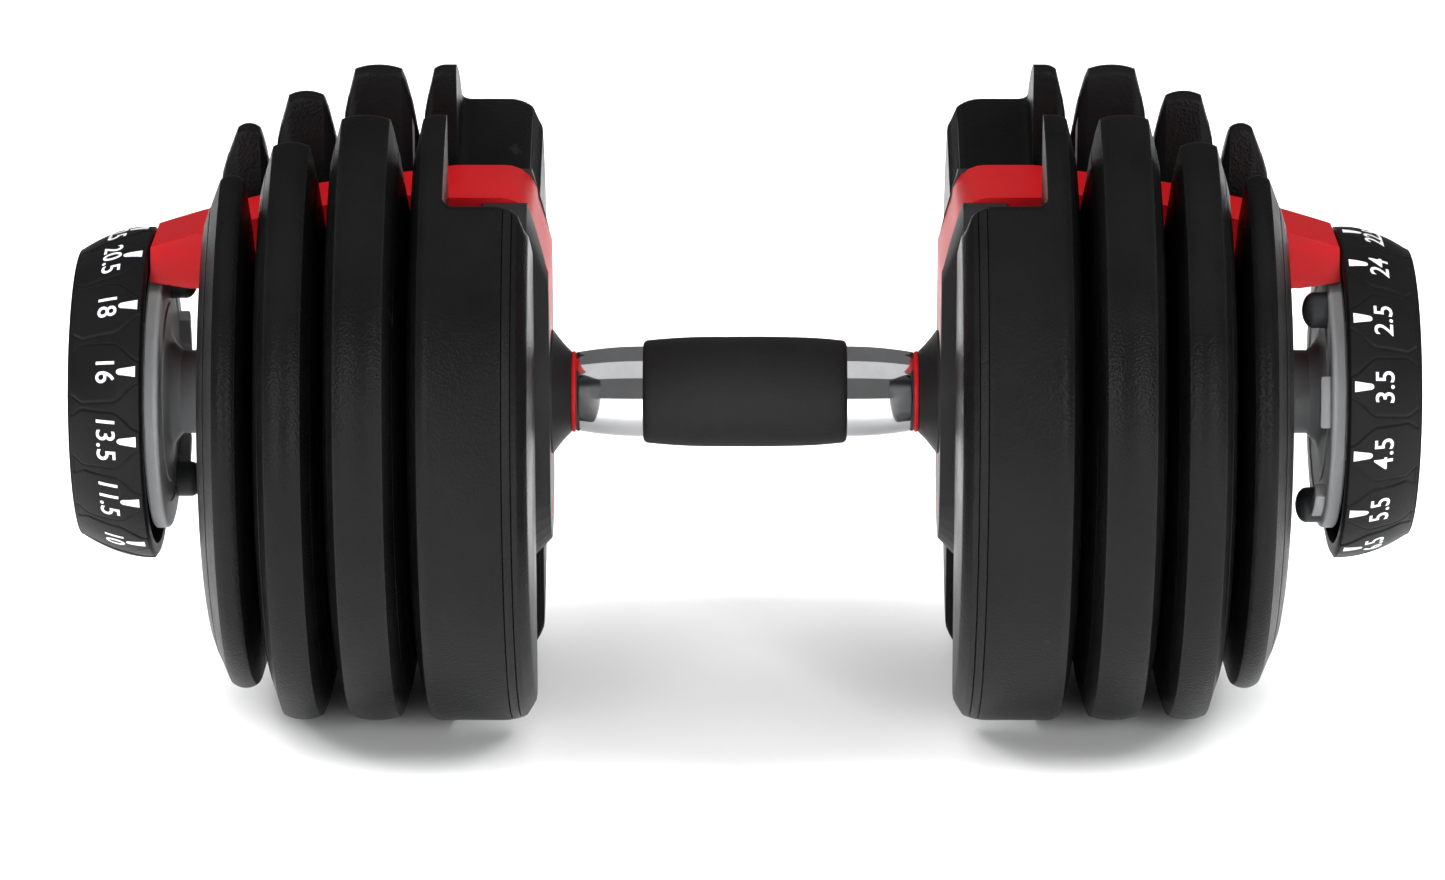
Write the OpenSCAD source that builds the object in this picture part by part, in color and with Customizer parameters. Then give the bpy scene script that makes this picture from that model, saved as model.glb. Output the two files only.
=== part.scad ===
// Adjustable dumbbell: a handle with two brackets, four hooked plates a side, and a weight selector
// at each end. X runs along the handle and Z is up. The origin is under the middle, on the surface
// that the plates stand on.
// The +X end is modelled. The other end is the same end, turned half a turn about Z.

/* [Plates] */
// Radius of the three large plates
plate_r = 100; // [98:0.5:102]
// Radius of the third plate out from the handle
third_plate_r = 96; // [95:0.5:97]
// Radius of the smallest, outermost plate
small_plate_r = 86.5; // [84:0.5:89]
// Width of the flat foot at the bottom of the large plates
foot_w = 30; // [24:1:36]
// Half width of the slot that opens each plate to the top
slot_half_w = 28.5; // [28:0.1:29.5]
// Half width of the opening between the wings of the inner plate
wing_gap_half_w = 30; // [29:0.5:32]
// Gap between neighbouring plates
plate_gap = 0.4; // [0.3:0.1:0.8]
// Thickness of the plastic over the steel core, from the innermost plate outwards
skin = [3, 2.3, 3, 3.8]; // [1.5:0.1:4.5]

/* [Grip and handle] */
// Half length of the soft grip sleeve
grip_half_l = 31; // [29:0.5:33]
// Radius at the middle of the grip
grip_r = 16.8; // [16:0.1:18]
// Radius of the bare tube beside the grip
tube_r = 13.9; // [13.5:0.1:14.2]
// Radius of the steel bar that carries everything
bar_r = 8; // [7:0.5:8]

/* [Selector] */
// Largest radius of the numbered dial ring
dial_r = 50.6; // [49:0.1:51]
// Distance from the middle to the outer end of the dial
dial_end_x = 201.5; // [200:0.5:203]
// Radius of the selector discs
disc_r = 26; // [25.5:0.1:26.5]
// Radius of the spindle
spindle_r = 12.7; // [12:0.1:13]

/* [Hidden] */
$fn = 96;
eps = 0.01;
far = 300;

axis_z = sqrt(plate_r * plate_r - foot_w * foot_w / 4);
foot_h = -axis_z;

// Plates, from the bracket outwards: inner and outer face, crown from and to, radius, height of centre
plate_x0 = [88, 98.9, 123.4, 144.3];
plate_x1 = [for (n = [0:3]) n < 3 ? plate_x0[n + 1] - plate_gap : 161.2];
crown_x0 = [88, 104.7, 128.7, 148.4];
crown_x1 = [94.9, 119, 139.4, 155.2];
rim_r = [plate_r, plate_r, third_plate_r, small_plate_r];
rim_centre_h = [0, 0, third_plate_r - plate_r, third_plate_r - plate_r];
bevel_h = 13;
crown_side_h = 3.6;
crown_side_w = 1;
crown_round = 1.2;

// Wings of the inner plate
wing_x0 = 63;
wing_round = 9;
wing_top_y = 65;
wing_top_h = 76.5;
wing_slot_h = 61;

// Bracket
face_x = 58.9;
bracket_mid_x = 65;
bracket_back_x = 78;
bracket_half_w = 27.8;
face_half_w = 20;
bracket_top_h = 64.7;
face_top_h = 46;
bracket_bottom_h = -52;
steel_plate_t = 3;
screw_r = 2;
screw_head_r = 4;
screw_y = 19;
screw_h = [-24, 26];
bracket_corner = 8;
bracket_chamfer = 6;
screw_head_t = 1.4;
screw_hex_r = 1.2;

// Two plain oblong badges on the face below the handle
inlay_t = 1;
inlay_half_w = 5;
inlay_h = [-36, -20];
inlay_r = 3;

// Top arm
arm_half_w = 19;
arm_top_half_w = 14.5;
arm_base_h = 38;
arm_end_x = 178.4;
arm_end_h = 49.5;
arm_flat_h = 66.4;
arm_flat_x = [73, 88];
arm_front_round = 10;
arm_flange_h = 3;
arm_relief_r = 42;
arm_relief_x = 165.8;
shield_t = 1.6;
shield_tip_h = 12;
shield_tip_half_w = 3;
arm_screw_x = 87;
arm_screw_y = 10;
arm_screw_l = 12;
arm_screw_head_t = 2.4;
arm_screw_hex_r = 1.8;
arm_shelf_end_x = 94;
arm_shelf_half_w = 18;

// Grip end of the handle
spigot_r = 11;
ring_x = [51.5, 52.7];
ring_r = 13.3;
cone_r = 18.8;
grip_seat_r = 13.4;
grip_end_drop = 1.3;
tube_end_drop = 1.8;

// Selector discs: a web and a rim with one window for every setting that leaves the plate behind
web_t = 2;
rim_t = 3;
rim_l = 5;
rim_gap = 0.5;
tongue_t = 4;
tongue_half_w = 5;
tongue_top_h = -17.6;
peg_r = 2;
peg_gap = 0.3;
window_half_w = peg_r + 0.6;
peg_h = -(disc_r - rim_t - peg_gap - peg_r);
settings = 15;
setting_step = 360 / settings;
fit_gap = 0.05;
spindle_x0 = 82.8;
spindle_x1 = 171;

// Each plate's share in steps of the smallest weight, and the total that each setting of the dial picks up
plate_units = [6, 6, 4, 2];
setting_units = [for (s = [0:settings - 1]) s < 9 ? s : s < 14 ? 2 * s - 8 : 19];
rest_setting = 13;

// Dial
hub_disc_r = 41.5;
hub_disc_x = [174.8, 179.4];
hub_cone_r = 17.6;
hub_tube_r = 21;
hub_end_x = 197.2;
bar_end_x = 190;
hub_gap = 0.2;
pocket_r = 16.2;
ring_rim_x = 179.7;
ring_wall = 4.6;
ring_lip_x = 178.9;
cap_r = 43;
cap_flange_r = 38;
cap_flange_t = 3;
pad_r = 38.6;
pad_w = 5;
pad_x = 171.8;
pad_half_angle = 12;
pad_turns = [-12, 50];
bump_turns = [-62, 68];
bump_r = 4.2;
bump_x = 166.5;
bump_at_r = 36.5;

washer_r = 15;
washer_t = 1.5;
bolt_r = 4;
bolt_head_r = 6.5;
bolt_head_t = 4.3;
bolt_hex_r = 3.5;
bolt_l = 26;

// Detent: a sprung ball in the bracket that clicks into dimples in the first selector disc
ball_r = 2.5;
ball_h = -19;
ball_x = 81.3;
dimple_depth = 0.8;
spring_r = 1.75;
spring_wire_r = 0.3;
spring_x0 = 70;
spring_turns = 6;
spring_steps = 16;
spring_sides = 8;

red = "#c81e28";
black = "#26262a";
dark_grey = "#3a3b3e";
grey = "#646668";
steel = "#8f9296";
chrome_colour = "#c9ccd0";

module right_end() {
  translate([0, 0, axis_z]) children();
}

module left_end() {
  translate([0, 0, axis_z]) rotate([0, 0, 180]) children();
}

// Turns a profile of [radius, x] points about the handle's axis
module turned(points) {
  rotate([0, 90, 0]) rotate_extrude() polygon(points);
}

// Cylinder along the handle's axis, from x0 to x1
module rod(r, x0, x1) {
  translate([x0, 0, 0]) rotate([0, 90, 0]) cylinder(r = r, h = x1 - x0);
}

// Box from x0 to x1, symmetric in Y, from h0 to h1 above the handle's axis
module slab(x0, x1, half_w, h0, h1) {
  translate([x0, -half_w, h0]) cube([x1 - x0, 2 * half_w, h1 - h0]);
}

// Extrudes an outline drawn in [y, height] along X
module along_x(x0, x1) {
  translate([x0, 0, 0]) rotate([90, 0, 90]) linear_extrude(x1 - x0) children();
}

// Extrudes a side view drawn in [x, height] across Y
module across_y(half_w) {
  translate([0, half_w, 0]) rotate([90, 0, 0]) linear_extrude(2 * half_w) children();
}

// ---------- handle ----------

function barrel_r(x) = tube_r - tube_end_drop * pow((x - grip_half_l) / (ring_x[0] - grip_half_l), 2);
function grip_r_at(x) = grip_r - grip_end_drop * pow(abs(x) / grip_half_l, 3);

module handle_tube() {
  steps = 8;
  outer = [for (n = [0:steps]) grip_half_l + (ring_x[0] - grip_half_l) * n / steps];
  color(chrome_colour) translate([0, 0, axis_z]) turned([
    [bar_r, -face_x],
    [spigot_r, -face_x],
    [spigot_r, -ring_x[0]],
    for (n = [steps:-1:0]) [barrel_r(outer[n]), -outer[n]],
    [grip_seat_r, -grip_half_l],
    [grip_seat_r, grip_half_l],
    for (x = outer) [barrel_r(x), x],
    [spigot_r, ring_x[0]],
    [spigot_r, face_x],
    [bar_r, face_x]
  ]);
}

module grip_sleeve() {
  steps = 16;
  end_round = 1;
  inner_x = grip_half_l - end_round;
  color("#1c1c1e") translate([0, 0, axis_z]) turned([
    [grip_seat_r, -grip_half_l],
    [grip_r_at(grip_half_l) - end_round, -grip_half_l],
    for (n = [0:steps]) let (x = inner_x * (2 * n / steps - 1)) [grip_r_at(x), x],
    [grip_r_at(grip_half_l) - end_round, grip_half_l],
    [grip_seat_r, grip_half_l]
  ]);
}

module core_bar() {
  color(steel) translate([0, 0, axis_z]) difference() {
    rod(bar_r, -bar_end_x, bar_end_x);
    for (turn = [0, 180])
      rotate([0, 0, turn]) rod(bolt_r, bar_end_x - bolt_l, bar_end_x + eps);
  }
}

module collar_ring() {
  color(red) turned([[spigot_r, ring_x[0]], [ring_r, ring_x[0]], [ring_r, ring_x[1]], [spigot_r, ring_x[1]]]);
}

module collar_cone() {
  steps = 6;
  flare_l = face_x - ring_x[1] - 0.6;
  neck_r = ring_r - 0.4;
  color(black) turned([
    [spigot_r, ring_x[1]],
    for (n = [0:steps]) [neck_r + (cone_r - neck_r) * pow(n / steps, 1.4), ring_x[1] + flare_l * n / steps],
    [cone_r, face_x],
    [spigot_r, face_x]
  ]);
}

// ---------- bracket ----------

// Outline of the bracket: round at the bottom, with rounded top corners
module bracket_outline(half_w, bottom_h, top_h) {
  corner = bracket_corner;
  translate([0, bottom_h + half_w]) circle(half_w);
  translate([-half_w, bottom_h + half_w]) square([2 * half_w, top_h - bottom_h - half_w - corner]);
  translate([corner - half_w, top_h - corner - eps]) square([2 * (half_w - corner), corner + eps]);
  for (side = [-1, 1])
    translate([side * (half_w - corner), top_h - corner]) circle(corner);
}

module screws_at() {
  for (side = [-1, 1])
    for (h = screw_h)
      translate([0, side * screw_y, h]) children();
}

module bracket_housing() {
  color(black) difference() {
    union() {
      hull() {
        along_x(face_x, face_x + eps)
          bracket_outline(face_half_w, bracket_bottom_h + bracket_chamfer, face_top_h, $fn = 32);
        along_x(bracket_mid_x - eps, bracket_mid_x)
          bracket_outline(bracket_half_w, bracket_bottom_h, bracket_top_h, $fn = 32);
      }
      along_x(bracket_mid_x - eps, bracket_back_x)
        bracket_outline(bracket_half_w, bracket_bottom_h, bracket_top_h);
    }
    rod(bar_r, 0, far);
    slab(0, far, arm_half_w, arm_base_h, far);
    along_x(face_x - 1, face_x + shield_t) shield_outline();
    inlay_shapes(face_x - 1, face_x + inlay_t);
    screws_at() rod(screw_r, bracket_mid_x, far);
    translate([0, 0, ball_h]) rod(ball_r + fit_gap, spring_x0, far);
  }
}

module inlay_shapes(x0, x1) {
  along_x(x0, x1) {
    for (h = inlay_h)
      for (side = [-1, 1])
        translate([side * inlay_half_w, h]) circle(inlay_r);
    for (h = inlay_h)
      translate([-inlay_half_w, h - inlay_r]) square([2 * inlay_half_w, 2 * inlay_r]);
  }
}

module face_inlays() {
  color(red) inlay_shapes(face_x, face_x + inlay_t);
}

// Steel plate behind the bracket, with a shelf that the top arm is screwed to
module bracket_plate() {
  shelf_h = arm_base_h - steel_plate_t;
  color(steel) difference() {
    union() {
      along_x(bracket_back_x, bracket_back_x + steel_plate_t)
        bracket_outline(bracket_half_w - 2, bracket_bottom_h + 2, shelf_h);
      slab(bracket_back_x, arm_shelf_end_x, arm_shelf_half_w, shelf_h, arm_base_h);
    }
    rod(bar_r, 0, far);
    translate([0, 0, ball_h]) rod(ball_r + fit_gap, 0, far);
    screws_at() rod(screw_r, 0, far);
    arm_screws_at() cylinder(r = screw_r, h = far);
  }
}

module bracket_screws() {
  head_x = bracket_back_x + steel_plate_t;
  color(chrome_colour) screws_at() difference() {
    union() {
      rod(screw_r, bracket_mid_x, head_x);
      rod(screw_head_r, head_x, head_x + screw_head_t);
    }
    rod(screw_hex_r, head_x + screw_head_t - 1, far, $fn = 6);
  }
}

module detent_ball() {
  color(chrome_colour) translate([ball_x, 0, ball_h]) sphere(ball_r, $fn = 48);
}

// Compression spring: a round wire swept along a helix
module detent_spring() {
  last = spring_turns * spring_steps;
  length = ball_x - ball_r - spring_x0 - 2 * spring_wire_r;
  points = [
    for (n = [0:last]) for (k = [0:spring_sides - 1])
      let (turn = 360 * n / spring_steps, wire = 360 * k / spring_sides)
      let (r = spring_r + spring_wire_r * cos(wire), x = length * n / last + spring_wire_r * sin(wire))
        [spring_x0 + spring_wire_r + x, r * cos(turn), r * sin(turn)]
  ];
  sides = [
    for (n = [0:last - 1]) for (k = [0:spring_sides - 1])
      let (a = n * spring_sides + k, b = n * spring_sides + (k + 1) % spring_sides)
        [a, b, b + spring_sides, a + spring_sides]
  ];
  ends = [
    [for (k = [spring_sides - 1:-1:0]) k],
    [for (k = [0:spring_sides - 1]) last * spring_sides + k]
  ];
  color(steel) translate([0, 0, ball_h]) polyhedron(points, concat(sides, ends));
}

// ---------- top arm ----------

module shield_outline() {
  polygon([
    [-arm_half_w, arm_base_h], [-shield_tip_half_w, shield_tip_h],
    [shield_tip_half_w, shield_tip_h], [arm_half_w, arm_base_h]
  ]);
}

// Height of the arm's top line, falling outwards on one smooth curve
function arm_top(x) =
  arm_flat_h - (arm_flat_h - arm_end_h) * pow((x - arm_flat_x[1]) / (arm_end_x - arm_flat_x[1]), 1.75);

module arm_side_view() {
  steps = 12;
  nose_x = arm_flat_x[0] - arm_front_round;
  nose_h = arm_flat_h - arm_front_round;
  polygon([
    [face_x, arm_base_h],
    [face_x, arm_base_h + 5],
    [nose_x, nose_h],
    for (n = [1:6]) let (turn = 15 * n)
      [arm_flat_x[0] - arm_front_round * cos(turn), nose_h + arm_front_round * sin(turn)],
    for (n = [0:steps]) let (x = arm_flat_x[1] + (arm_end_x - arm_flat_x[1]) * n / steps) [x, arm_top(x)],
    [arm_end_x, arm_base_h]
  ]);
}

// Section of the arm, its flanks leaning in above the flange towards the top
module arm_section() {
  shoulder_h = arm_base_h + arm_flange_h;
  polygon([
    [-arm_half_w, arm_base_h], [-arm_half_w, shoulder_h], [-arm_top_half_w, arm_end_h],
    [-arm_top_half_w, far], [arm_top_half_w, far], [arm_top_half_w, arm_end_h],
    [arm_half_w, shoulder_h], [arm_half_w, arm_base_h]
  ]);
}

module top_arm() {
  lean_x = 98;
  color(red) difference() {
    union() {
      intersection() {
        across_y(arm_half_w) arm_side_view();
        union() {
          slab(0, lean_x, arm_half_w, arm_base_h, far);
          along_x(lean_x - eps, arm_end_x) arm_section();
        }
      }
      along_x(face_x, face_x + shield_t) shield_outline();
    }
    arm_screws_at() cylinder(r = screw_r, h = arm_base_h + arm_screw_l);
    // Room for the dial's hub and studs to turn under the end of the arm
    rod(arm_relief_r, arm_relief_x, far);
  }
}

module arm_screws_at() {
  for (side = [-1, 1])
    translate([arm_screw_x, side * arm_screw_y, 0]) children();
}

module arm_screws() {
  shelf_h = arm_base_h - steel_plate_t;
  color(chrome_colour) arm_screws_at() difference() {
    union() {
      translate([0, 0, shelf_h]) cylinder(r = screw_r, h = steel_plate_t + arm_screw_l);
      translate([0, 0, shelf_h - arm_screw_head_t]) cylinder(r = screw_head_r, h = arm_screw_head_t);
    }
    translate([0, 0, shelf_h - 3]) cylinder(r = arm_screw_hex_r, h = 2, $fn = 6);
  }
}

// ---------- selector ----------

function picked(total, plate) =
  plate_units[0] > total
    ? (plate == 0 ? false : picked_from(total, 1, plate))
    : (plate == 0 ? true : picked_from(total - plate_units[0], 1, plate));
function picked_from(total, n, plate) =
  let (takes = plate_units[n] <= total)
    n == plate ? takes : picked_from(takes ? total - plate_units[n] : total, n + 1, plate);

// Inner face of each selector disc's web, and the x of the plate's tongue beside it
disc_x0 = [85.6, 109.2, 134, 154.5];
disc_faces_in = [false, true, true, true];

function rim_from(n) = disc_faces_in[n] ? disc_x0[n] - rim_l : disc_x0[n] + web_t;
function rim_to(n) = rim_from(n) + rim_l;
function tongue_from(n) = disc_faces_in[n] ? rim_from(n) - rim_gap - tongue_t : rim_to(n) + rim_gap;

module spindle_tube() {
  color(grey) difference() {
    rod(spindle_r, spindle_x0, spindle_x1);
    rod(bar_r + fit_gap, 0, far);
  }
}

module selector_disc(n) {
  color(dark_grey) difference() {
    union() {
      rod(disc_r, disc_x0[n], disc_x0[n] + web_t);
      difference() {
        rod(disc_r, rim_from(n), rim_to(n));
        rod(disc_r - rim_t, rim_from(n) - 1, rim_to(n) + 1);
      }
    }
    rod(spindle_r, 0, far);
    // The window at the rest setting lets each plate's slide be moved by itself
    for (s = [0:settings - 1])
      if (!picked(setting_units[s], n) || s == rest_setting)
        rotate([setting_step * (s - rest_setting), 0, 0])
          translate([rim_from(n) - eps, -window_half_w, -disc_r - 1])
            cube([rim_l + 2 * eps, 2 * window_half_w, rim_t + 3]);
    if (n == 0)
      for (s = [0:settings - 1])
        rotate([setting_step * s, 0, 0])
          translate([disc_x0[0] - ball_r + dimple_depth, 0, ball_h]) sphere(ball_r, $fn = 48);
  }
}

module dial_hub() {
  color(grey) difference() {
    union() {
      turned([
        [0, spindle_x1], [spindle_r, spindle_x1], [hub_cone_r, spindle_x1 + 5],
        [hub_cone_r + 6, hub_disc_x[0]], [hub_disc_r - 1, hub_disc_x[0]], [hub_disc_r, hub_disc_x[0] + 1],
        [hub_disc_r, hub_disc_x[1]], [hub_tube_r, hub_disc_x[1]], [hub_tube_r, hub_end_x], [0, hub_end_x]
      ]);
      for (turn = pad_turns) hub_pad(turn);
      for (turn = bump_turns) hub_bump(turn);
    }
    rod(bar_r + fit_gap, 0, far);
    rod(pocket_r, bar_end_x - hub_gap, far);
  }
}

// Low pad near the rim of the hub disc
module hub_pad(turn) {
  reach = 45;
  wide = reach * tan(pad_half_angle);
  rotate([turn, 0, 0]) intersection() {
    difference() {
      rod(pad_r, pad_x, hub_disc_x[0] + 1);
      rod(pad_r - pad_w, pad_x - 1, far);
    }
    along_x(pad_x - 1, far) polygon([[0, 0], [-reach, -wide], [-reach, wide]]);
  }
}

// Round-ended stud on the hub disc
module hub_bump(turn) {
  rotate([turn, 0, 0]) translate([0, -bump_at_r, 0]) {
    rod(bump_r, bump_x + 2, hub_disc_x[0] + 1);
    rotate([0, 90, 0]) translate([0, 0, bump_x]) cylinder(r1 = bump_r - 2, r2 = bump_r, h = 2);
  }
}

module dial_ring() {
  steps = 8;
  outer_end_r = 44;
  inner_r = dial_r - ring_wall;
  color(black) turned([
    [inner_r, ring_lip_x],
    for (n = [0:steps])
      let (x = ring_rim_x + (dial_end_x - 1 - ring_rim_x) * n / steps)
        [dial_r - (dial_r - outer_end_r) * pow(n / steps, 2), x],
    [outer_end_r - 1, dial_end_x],
    [cap_r, dial_end_x],
    [cap_r, hub_end_x],
    [cap_flange_r, hub_end_x],
    [cap_flange_r, hub_end_x - cap_flange_t],
    [inner_r - 5, hub_end_x - cap_flange_t],
    [inner_r - 1, hub_end_x - cap_flange_t - 4]
  ]);
}

// Closing cap with a shallow dish, a raised boss and finger ribs
module dial_cap() {
  face = dial_end_x - 0.9;
  color(dark_grey) {
    turned([
      [0, hub_end_x], [cap_r, hub_end_x], [cap_r, face - 0.6], [cap_r - 0.6, face], [cap_r - 5, face],
      [cap_r - 8, face - 1.4], [14, face - 1.4], [12.6, face], [0, face]
    ]);
    for (n = [0:5])
      rotate([60 * n, 0, 0]) slab(face - 1.4 - eps, face - 0.4, 1.5, 17, 32);
  }
}

module thrust_washer() {
  color(steel) difference() {
    rod(washer_r, bar_end_x, bar_end_x + washer_t);
    rod(bolt_r, 0, far);
  }
}

module end_bolt() {
  head_x = bar_end_x + washer_t;
  color(steel) difference() {
    union() {
      rod(bolt_r, bar_end_x - bolt_l, head_x);
      rod(bolt_head_r, head_x, head_x + bolt_head_t);
    }
    rod(bolt_hex_r, head_x + 1.5, far, $fn = 6);
  }
}

// ---------- plates ----------

// Radial section of a plate: two flat faces, bevels towards a narrower crown, and rounded crown edges
module plate_section(n, inset) {
  x0 = plate_x0[n] + inset;
  x1 = plate_x1[n] - inset;
  c0 = max(crown_x0[n], x0);
  c1 = crown_x1[n] - inset / 2;
  r = rim_r[n] - inset;
  side_r = r - crown_side_h;
  edge_r = r - crown_round;
  polygon([
    [0, x0],
    [side_r - bevel_h, x0],
    [side_r, max(c0 - crown_side_w, x0)],
    for (k = [0:3]) [edge_r + crown_round * sin(30 * k), c0 + crown_round * (1 - cos(30 * k))],
    for (k = [0:3]) [edge_r + crown_round * cos(30 * k), c1 - crown_round * (1 - sin(30 * k))],
    [side_r, min(c1 + crown_side_w, x1)],
    [side_r - bevel_h, x1],
    [0, x1]
  ]);
}

// Slot that opens a plate from the handle's axis to the top
module top_slot(half_w) {
  rod(half_w, 0, far);
  slab(0, far, half_w, 0, far);
}

module plate_solid(n, inset) {
  difference() {
    union() {
      translate([0, 0, rim_centre_h[n]])
        rotate([0, 90, 0]) rotate_extrude($fn = 180) plate_section(n, inset);
      if (n == 0) wings(inset);
    }
    top_slot(slot_half_w + inset);
    slab(0, far, far, sqrt(plate_r * plate_r - pow(slot_half_w, 2)) - 2 * inset, far);
    slab(0, far, far, -far, foot_h + inset);
  }
}

// The inner plate's two thick wings, left and right of the bracket, with tops that slope down to the gap
module wings(inset) {
  steps = 6;
  x0 = wing_x0 + inset;
  r = rim_r[0] - inset;
  round_r = wing_round - inset;
  difference() {
    rotate([0, 90, 0]) rotate_extrude($fn = 180) polygon([
      [0, x0],
      for (k = [0:steps]) let (turn = 90 * k / steps)
        [r - round_r + round_r * sin(turn), x0 + round_r - round_r * cos(turn)],
      [r, plate_x0[0] + inset + eps],
      [0, plate_x0[0] + inset + eps]
    ]);
    slab(0, far, wing_gap_half_w + inset, -far, far);
    for (side = [0, 1])
      mirror([0, side, 0]) along_x(0, plate_x0[0] + (inset > 0 ? inset : 0)) polygon([
        [0, wing_slot_h - inset], [wing_gap_half_w, wing_slot_h - inset], [wing_top_y, wing_top_h - inset],
        [far, wing_top_h - inset], [far, far], [0, far]
      ]);
  }
}

// Tongue in the slot, with the peg that hangs in the selector disc's rim
module hook(n) {
  x0 = tongue_from(n);
  peg_x0 = disc_faces_in[n] ? x0 + tongue_t - eps : disc_x0[n] + web_t + rim_gap;
  peg_x1 = disc_faces_in[n] ? disc_x0[n] - rim_gap : x0 + eps;
  round_h = tongue_top_h - tongue_half_w;
  foot = -slot_half_w - 2;
  along_x(x0, x0 + tongue_t) {
    translate([-tongue_half_w, foot]) square([2 * tongue_half_w, round_h - foot]);
    translate([0, round_h]) circle(tongue_half_w);
  }
  translate([0, 0, peg_h]) rod(peg_r, peg_x0, peg_x1);
}

module plate(n) {
  color(black) {
    difference() {
      plate_solid(n, 0);
      plate_solid(n, skin[n]);
    }
    hook(n);
  }
}

module plate_core(n) {
  color(steel) plate_solid(n, skin[n]);
}

handle_tube();
grip_sleeve();
core_bar();
left_end() collar_ring();  // collar_ring_left
right_end() collar_ring();  // collar_ring_right
left_end() collar_cone();  // collar_cone_left
right_end() collar_cone();  // collar_cone_right
left_end() bracket_housing();  // bracket_housing_left
right_end() bracket_housing();  // bracket_housing_right
left_end() bracket_plate();  // bracket_plate_left
right_end() bracket_plate();  // bracket_plate_right
left_end() bracket_screws();  // bracket_screws_left
right_end() bracket_screws();  // bracket_screws_right
left_end() face_inlays();  // face_inlays_left
right_end() face_inlays();  // face_inlays_right
left_end() top_arm();  // top_arm_left
right_end() top_arm();  // top_arm_right
left_end() arm_screws();  // arm_screws_left
right_end() arm_screws();  // arm_screws_right
left_end() detent_ball();  // detent_ball_left
right_end() detent_ball();  // detent_ball_right
left_end() detent_spring();  // detent_spring_left
right_end() detent_spring();  // detent_spring_right
left_end() spindle_tube();  // spindle_tube_left
right_end() spindle_tube();  // spindle_tube_right
left_end() dial_hub();  // dial_hub_left
right_end() dial_hub();  // dial_hub_right
left_end() dial_ring();  // dial_ring_left
right_end() dial_ring();  // dial_ring_right
left_end() dial_cap();  // dial_cap_left
right_end() dial_cap();  // dial_cap_right
left_end() thrust_washer();  // thrust_washer_left
right_end() thrust_washer();  // thrust_washer_right
left_end() end_bolt();  // end_bolt_left
right_end() end_bolt();  // end_bolt_right
for (n = [0:3]) {
  left_end() selector_disc(n);
  right_end() selector_disc(n);
  left_end() plate(n);
  right_end() plate(n);
  left_end() plate_core(n);
  right_end() plate_core(n);
}
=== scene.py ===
import math

import bmesh
import bpy
import numpy as np
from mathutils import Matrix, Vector


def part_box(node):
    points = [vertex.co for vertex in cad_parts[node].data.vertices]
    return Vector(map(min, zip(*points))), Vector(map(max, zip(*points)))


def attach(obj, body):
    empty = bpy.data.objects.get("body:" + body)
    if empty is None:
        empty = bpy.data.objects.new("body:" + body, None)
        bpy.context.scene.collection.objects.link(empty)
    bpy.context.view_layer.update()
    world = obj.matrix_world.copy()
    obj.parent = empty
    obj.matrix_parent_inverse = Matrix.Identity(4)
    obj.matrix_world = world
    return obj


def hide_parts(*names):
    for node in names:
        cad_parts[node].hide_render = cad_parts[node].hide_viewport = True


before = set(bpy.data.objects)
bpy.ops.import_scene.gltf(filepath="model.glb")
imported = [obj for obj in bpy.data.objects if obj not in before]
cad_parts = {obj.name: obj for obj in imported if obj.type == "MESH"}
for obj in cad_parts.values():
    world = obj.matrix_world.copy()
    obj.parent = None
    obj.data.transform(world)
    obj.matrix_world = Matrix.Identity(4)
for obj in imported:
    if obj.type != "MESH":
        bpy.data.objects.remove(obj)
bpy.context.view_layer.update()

# Adjustable dumbbell. Shapes are worked out in millimetres in one end's own frame: X runs outwards along
# the handle, Z is up, and the handle's axis is at Z = 0. The left end is the same end turned half a turn.
MM = 0.001
SIDES = {"right": 1, "left": -1}


# ---------------------------------------------------------------- sizes from the CAD frame

bar_low, bar_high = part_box("core_bar")
AXIS = (bar_low.z + bar_high.z) / 2 / MM


def span(node):
    """X from and to, and the largest |y|, of a right-hand node in millimetres."""
    low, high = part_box(node)
    return low.x / MM, high.x / MM, high.y / MM


def heights(node):
    """Lowest and highest point of a node above the handle's axis, in millimetres."""
    low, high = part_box(node)
    return low.z / MM - AXIS, high.z / MM - AXIS


PLATES = [span(f"plate_{n}_right") for n in (1, 2, 3, 4)]
FOOT = heights("plate_2_right")[0]
SLOT = 28.5
WING_GAP = 30.0
RING_X0, RING_X1, RING_R = span("dial_ring_right")
FACE_X = span("bracket_housing_right")[0]
ARM_END = span("top_arm_right")[1]
_, HUB_X1, HUB_R = span("dial_hub_right")


# ---------------------------------------------------------------- mesh helpers

def smoothstep(t):
    t = np.clip(t, 0, 1)
    return t * t * (3 - 2 * t)


def rounded(points, cuts, steps=5, closed=False):
    """A polyline with its corners rounded. cuts says how far each corner is cut back along its edges."""
    points = [np.array(p, float) for p in points]
    count = len(points)
    out = []
    for i, p in enumerate(points):
        if not closed and i in (0, count - 1) or not cuts[i]:
            out.append(p)
            continue
        before, after = points[i - 1], points[(i + 1) % count]
        to_before, to_after = before - p, after - p
        cut_a = min(cuts[i], 0.49 * np.linalg.norm(to_before))
        cut_b = min(cuts[i], 0.49 * np.linalg.norm(to_after))
        a = p + to_before / np.linalg.norm(to_before) * cut_a
        b = p + to_after / np.linalg.norm(to_after) * cut_b
        for k in range(steps + 1):
            t = k / steps
            out.append((1 - t) ** 2 * a + 2 * t * (1 - t) * p + t * t * b)
    return np.array(out)


def loft(loops, cap_start=True, cap_end=True):
    """Closed surface through closed loops of equal length."""
    loops = [np.asarray(loop, float) for loop in loops]
    size, count = len(loops[0]), len(loops)
    faces = []
    for j in range(count - 1):
        for i in range(size):
            k = (i + 1) % size
            faces.append((j * size + i, j * size + k, (j + 1) * size + k, (j + 1) * size + i))
    if cap_start:
        faces.append(tuple(range(size)))
    if cap_end:
        faces.append(tuple(range((count - 1) * size, count * size)))
    return np.concatenate(loops), faces


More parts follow.
